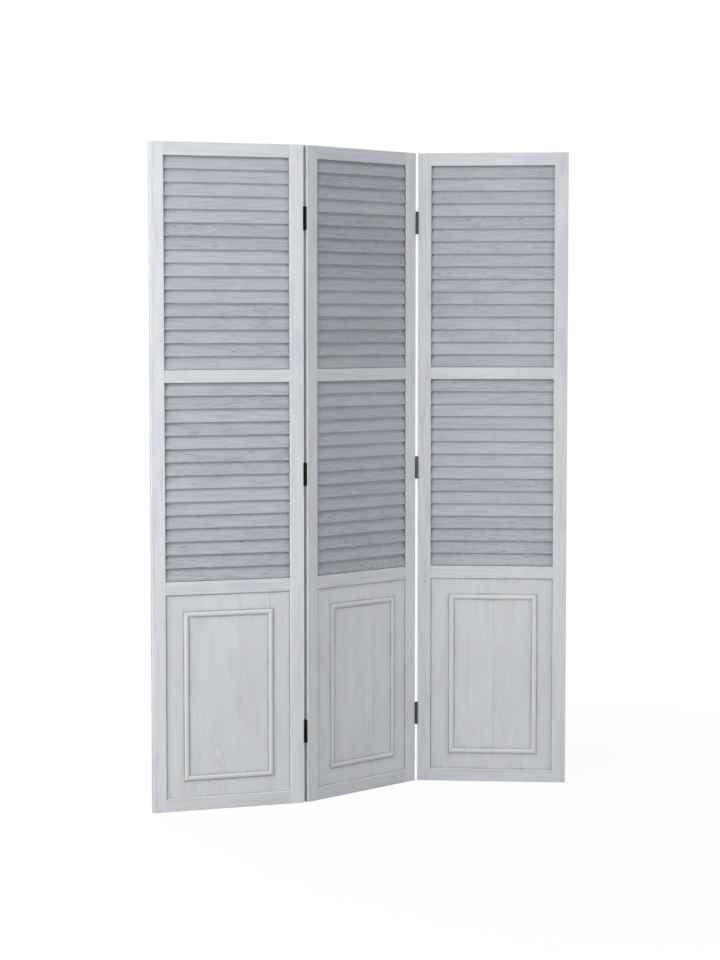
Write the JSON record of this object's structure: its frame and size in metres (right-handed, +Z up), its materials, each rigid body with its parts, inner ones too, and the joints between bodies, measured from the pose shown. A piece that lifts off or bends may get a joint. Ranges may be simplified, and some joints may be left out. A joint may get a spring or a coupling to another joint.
{
  "type": "folding screen",
  "caption": "Tall zigzag folding screen of hinged washed-wood leaves, louvred above a solid board with a mitred moulding.",
  "frame": {"origin": "on the floor, under the middle of the box of the screen as it stands bent in the picture", "axes": "+Z up, the front faces -Y, +X runs from the left leaf to the right leaf seen from the front"},
  "size_m": [1.0888, 0.437, 1.7],
  "materials": {
    "washed_frame": "white-grey wash, matt, thin enough to show the grain",
    "washed_slats": "white-grey wash, matt, cooler and streakier than the frame",
    "washed_board": "white-grey wash, matt, upright grain",
    "washed_moulding": "white wash, slightly warmer, matt",
    "beech_dowel": "bare, turned",
    "hinge_iron": "dark olive-grey lacquered iron",
    "screw_iron": "dark lacquered iron"
  },
  "bodies": {
    "left_panel": {"left_panel_left_stile": "washed_frame", "left_panel_right_stile": "washed_frame", "left_panel_top_rail": "washed_frame", "left_panel_upper_rail": "washed_frame", "left_panel_lower_rail": "washed_frame", "left_panel_bottom_rail": "washed_frame", "left_panel_upper_slats": "washed_slats", "left_panel_lower_slats": "washed_slats", "left_panel_board": "washed_board", "left_panel_front_moulding": "washed_moulding", "left_panel_back_moulding": "washed_moulding", "left_panel_dowels": "beech_dowel", "left_joint_top_hinge_left_plate": "hinge_iron", "left_joint_middle_hinge_left_plate": "hinge_iron", "left_joint_bottom_hinge_left_plate": "hinge_iron", "left_joint_left_screws": "screw_iron"},
    "middle_panel": {"middle_panel_left_stile": "washed_frame", "middle_panel_right_stile": "washed_frame", "middle_panel_top_rail": "washed_frame", "middle_panel_upper_rail": "washed_frame", "middle_panel_lower_rail": "washed_frame", "middle_panel_bottom_rail": "washed_frame", "middle_panel_upper_slats": "washed_slats", "middle_panel_lower_slats": "washed_slats", "middle_panel_board": "washed_board", "middle_panel_front_moulding": "washed_moulding", "middle_panel_back_moulding": "washed_moulding", "middle_panel_dowels": "beech_dowel", "left_joint_top_hinge_right_plate": "hinge_iron", "left_joint_top_hinge_pin": "hinge_iron", "left_joint_middle_hinge_right_plate": "hinge_iron", "left_joint_middle_hinge_pin": "hinge_iron", "left_joint_bottom_hinge_right_plate": "hinge_iron", "left_joint_bottom_hinge_pin": "hinge_iron", "left_joint_right_screws": "screw_iron", "right_joint_top_hinge_left_plate": "hinge_iron", "right_joint_top_hinge_pin": "hinge_iron", "right_joint_middle_hinge_left_plate": "hinge_iron", "right_joint_middle_hinge_pin": "hinge_iron", "right_joint_bottom_hinge_left_plate": "hinge_iron", "right_joint_bottom_hinge_pin": "hinge_iron", "right_joint_left_screws": "screw_iron"},
    "right_panel": {"right_panel_left_stile": "washed_frame", "right_panel_right_stile": "washed_frame", "right_panel_top_rail": "washed_frame", "right_panel_upper_rail": "washed_frame", "right_panel_lower_rail": "washed_frame", "right_panel_bottom_rail": "washed_frame", "right_panel_upper_slats": "washed_slats", "right_panel_lower_slats": "washed_slats", "right_panel_board": "washed_board", "right_panel_front_moulding": "washed_moulding", "right_panel_back_moulding": "washed_moulding", "right_panel_dowels": "beech_dowel", "right_joint_top_hinge_right_plate": "hinge_iron", "right_joint_middle_hinge_right_plate": "hinge_iron", "right_joint_bottom_hinge_right_plate": "hinge_iron", "right_joint_right_screws": "screw_iron"}
  },
  "joints": [
    {"name": "left_fold", "type": "hinge", "parent": "middle_panel", "child": "left_panel", "pos_m": [-0.16311, -0.07093, 0.856], "axis": [0, 0, 1], "range_deg": [-154, 31]},
    {"name": "right_fold", "type": "hinge", "parent": "middle_panel", "child": "right_panel", "pos_m": [0.1402, 0.2001, 0.856], "axis": [0, 0, 1], "range_deg": [-130.6, 54.4]}
  ]
}
